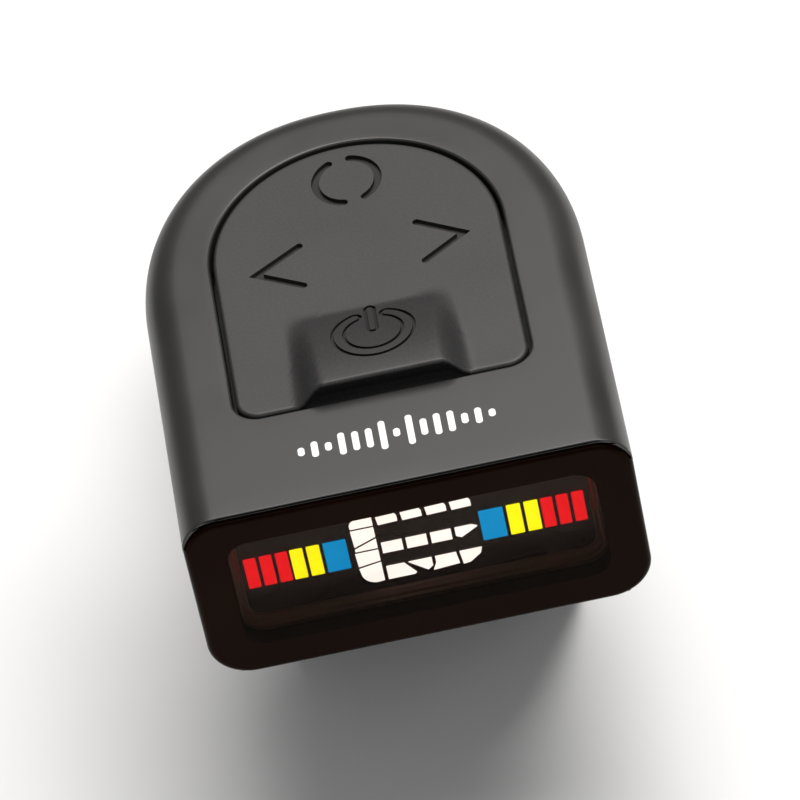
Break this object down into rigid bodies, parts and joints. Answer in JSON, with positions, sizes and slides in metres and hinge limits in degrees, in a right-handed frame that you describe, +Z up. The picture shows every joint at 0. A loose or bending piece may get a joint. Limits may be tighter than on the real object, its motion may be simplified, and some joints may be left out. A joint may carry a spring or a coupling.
{
  "type": "clip-on tuner",
  "caption": "Clip-on instrument tuner: a rounded pod with a smoked display window and a rocking four-way keypad, on a sprung, padded headstock clip.",
  "frame": {"origin": "under the middle of the object's box, on the surface that the closed tuner stands on", "axes": "+Z up out of the keypad, +Y from the display window back to the clip's handles, +X to the right seen from the window's side"},
  "size_m": [0.025, 0.05, 0.03],
  "materials": {
    "housing": "satin",
    "window": "polished smoked",
    "bezel": "matte",
    "panel": "gloss",
    "guide": "frosted",
    "flex": "satin",
    "board": "satin solder mask",
    "chip": "matte",
    "keypad": "fine matte texture",
    "elastomer": "matte",
    "steel": "satin",
    "screw": "satin black oxide",
    "spring": "drawn wire",
    "piezo": "satin",
    "lead": "satin",
    "clip": "satin"
  },
  "bodies": {
    "pod": {"top_housing": "housing", "bottom_cover": "housing", "display_lens": "window", "display_bezel": "bezel", "display_panel": "panel", "display_light_guide": "guide", "display_flex": "flex", "main_circuit_board": "board", "microcontroller": "chip", "snap_dome_power": "steel", "snap_dome_left": "steel", "snap_dome_right": "steel", "snap_dome_mode": "steel", "coin_cell": "steel", "battery_contact_positive": "steel", "battery_contact_negative": "steel", "housing_screw_left": "screw", "housing_screw_right": "screw", "clip_screw_left": "screw", "clip_screw_right": "screw", "piezo_sensor": "piezo", "piezo_lead_left": "lead", "piezo_lead_right": "lead", "upper_clip_arm": "clip", "hinge_pin": "steel", "torsion_spring": "spring"},
    "keypad_pivot": {"keypad_pivot_foot": "elastomer"},
    "keypad_cap": {"keypad": "keypad"},
    "door": {"battery_door": "housing", "upper_jaw_pad": "elastomer"},
    "jaw": {"lower_jaw": "clip", "lower_jaw_pad": "elastomer"}
  },
  "joints": [
    {"name": "jaw_hinge", "type": "hinge", "parent": "pod", "child": "jaw", "pos_m": [0, 0.0115, 0.0075], "axis": [1, 0, 0], "range_deg": [0, 35], "stiffness_Nm_per_rad": 0.25, "springref_deg": -34.38, "deforming": ["torsion_spring"]},
    {"name": "keypad_tilt_power_mode", "type": "hinge", "parent": "pod", "child": "keypad_pivot", "pos_m": [0, -0.0075, 0.0255], "axis": [1, 0, 0], "range_deg": [-2.3, 2.3], "stiffness_Nm_per_rad": 0.05},
    {"name": "keypad_tilt_left_right", "type": "hinge", "parent": "keypad_pivot", "child": "keypad_cap", "pos_m": [0, -0.0075, 0.0255], "axis": [0, 1, 0], "range_deg": [-2.9, 2.9], "stiffness_Nm_per_rad": 0.05},
    {"name": "battery_door_slide", "type": "slide", "parent": "pod", "child": "door", "axis": [0, -1, 0], "range_m": [0, 0.0125]}
  ]
}
